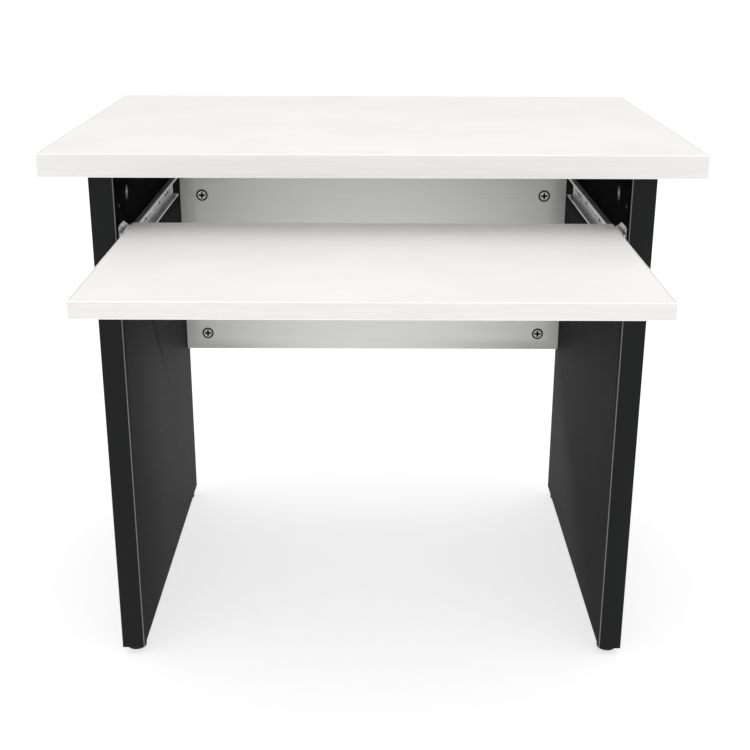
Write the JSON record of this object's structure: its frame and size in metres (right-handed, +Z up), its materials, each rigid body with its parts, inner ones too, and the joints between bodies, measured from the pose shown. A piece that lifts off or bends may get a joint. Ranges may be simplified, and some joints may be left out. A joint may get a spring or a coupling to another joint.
{
  "type": "computer desk with keyboard tray",
  "caption": "Computer desk with a white top on black side panels, a silver modesty panel and a pull-out keyboard tray on ball-bearing slides.",
  "frame": {"origin": "on the floor, under the middle of the object's outline with the keyboard tray pulled right out", "axes": "+X to the user's right, +Y away from the user along the tray's travel, +Z up"},
  "size_m": [0.85, 0.911, 0.74],
  "materials": {
    "white_laminate": "white melamine laminate, fine pearl texture, satin",
    "white_edge_band": "white ABS edge band, satin",
    "black_laminate": "black melamine laminate, fine pearl texture, satin",
    "black_edge_band": "black ABS edge band, satin",
    "silver_laminate": "silver laminate with a fine horizontal brushed grain",
    "zinc_plated_steel": "bright zinc plating",
    "cam_metal": "die-cast zinc, nickel plated",
    "beech": "raw fluted beech",
    "black_plastic": "moulded black polyamide"
  },
  "bodies": {
    "desk": {"desktop_board": "white_laminate", "desktop_edge_band": "white_edge_band", "left_side_panel": "black_laminate", "left_panel_edge_band": "black_edge_band", "right_side_panel": "black_laminate", "right_panel_edge_band": "black_edge_band", "modesty_panel": "silver_laminate", "left_slide_channel": "zinc_plated_steel", "left_channel_screw_1": "zinc_plated_steel", "left_channel_screw_2": "zinc_plated_steel", "left_channel_screw_3": "zinc_plated_steel", "right_slide_channel": "zinc_plated_steel", "right_channel_screw_1": "zinc_plated_steel", "right_channel_screw_2": "zinc_plated_steel", "right_channel_screw_3": "zinc_plated_steel", "desktop_left_front_cam": "cam_metal", "desktop_left_front_cam_bolt": "zinc_plated_steel", "desktop_left_rear_cam": "cam_metal", "desktop_left_rear_cam_bolt": "zinc_plated_steel", "modesty_left_lower_cam": "cam_metal", "modesty_left_lower_cam_bolt": "zinc_plated_steel", "modesty_left_upper_cam": "cam_metal", "modesty_left_upper_cam_bolt": "zinc_plated_steel", "desktop_right_front_cam": "cam_metal", "desktop_right_front_cam_bolt": "zinc_plated_steel", "desktop_right_rear_cam": "cam_metal", "desktop_right_rear_cam_bolt": "zinc_plated_steel", "modesty_right_lower_cam": "cam_metal", "modesty_right_lower_cam_bolt": "zinc_plated_steel", "modesty_right_upper_cam": "cam_metal", "modesty_right_upper_cam_bolt": "zinc_plated_steel", "desktop_left_front_dowel": "beech", "desktop_left_rear_dowel": "beech", "modesty_left_lower_dowel": "beech", "modesty_left_upper_dowel": "beech", "desktop_right_front_dowel": "beech", "desktop_right_rear_dowel": "beech", "modesty_right_lower_dowel": "beech", "modesty_right_upper_dowel": "beech", "left_front_foot_insert": "zinc_plated_steel", "left_rear_foot_insert": "zinc_plated_steel", "right_front_foot_insert": "zinc_plated_steel", "right_rear_foot_insert": "zinc_plated_steel"},
    "tray": {"keyboard_tray": "white_laminate", "tray_edge_band": "white_edge_band", "left_slide_rail": "zinc_plated_steel", "right_slide_rail": "zinc_plated_steel", "left_tray_screw_1": "zinc_plated_steel", "left_tray_screw_2": "zinc_plated_steel", "left_tray_screw_3": "zinc_plated_steel", "right_tray_screw_1": "zinc_plated_steel", "right_tray_screw_2": "zinc_plated_steel", "right_tray_screw_3": "zinc_plated_steel"},
    "left_cage": {"left_ball_cage": "zinc_plated_steel"},
    "right_cage": {"right_ball_cage": "zinc_plated_steel"},
    "left_front_foot": {"left_front_foot": "black_plastic"},
    "left_rear_foot": {"left_rear_foot": "black_plastic"},
    "right_front_foot": {"right_front_foot": "black_plastic"},
    "right_rear_foot": {"right_rear_foot": "black_plastic"}
  },
  "joints": [
    {"name": "tray_slide", "type": "slide", "parent": "desk", "child": "tray", "axis": [0, 1, 0], "range_m": [0, 0.316]},
    {"name": "left_cage_slide", "type": "slide", "parent": "desk", "child": "left_cage", "axis": [0, 1, 0], "range_m": [0, 0.158]},
    {"name": "right_cage_slide", "type": "slide", "parent": "desk", "child": "right_cage", "axis": [0, 1, 0], "range_m": [0, 0.158]},
    {"name": "left_front_foot_level", "type": "slide", "parent": "desk", "child": "left_front_foot", "axis": [0, 0, 1], "range_m": [-0.01, 0.004]},
    {"name": "left_rear_foot_level", "type": "slide", "parent": "desk", "child": "left_rear_foot", "axis": [0, 0, 1], "range_m": [-0.01, 0.004]},
    {"name": "right_front_foot_level", "type": "slide", "parent": "desk", "child": "right_front_foot", "axis": [0, 0, 1], "range_m": [-0.01, 0.004]},
    {"name": "right_rear_foot_level", "type": "slide", "parent": "desk", "child": "right_rear_foot", "axis": [0, 0, 1], "range_m": [-0.01, 0.004]}
  ],
  "couplings": [
    {"joint": "left_cage_slide", "follows": "tray_slide", "ratio": 0.5},
    {"joint": "right_cage_slide", "follows": "tray_slide", "ratio": 0.5}
  ]
}
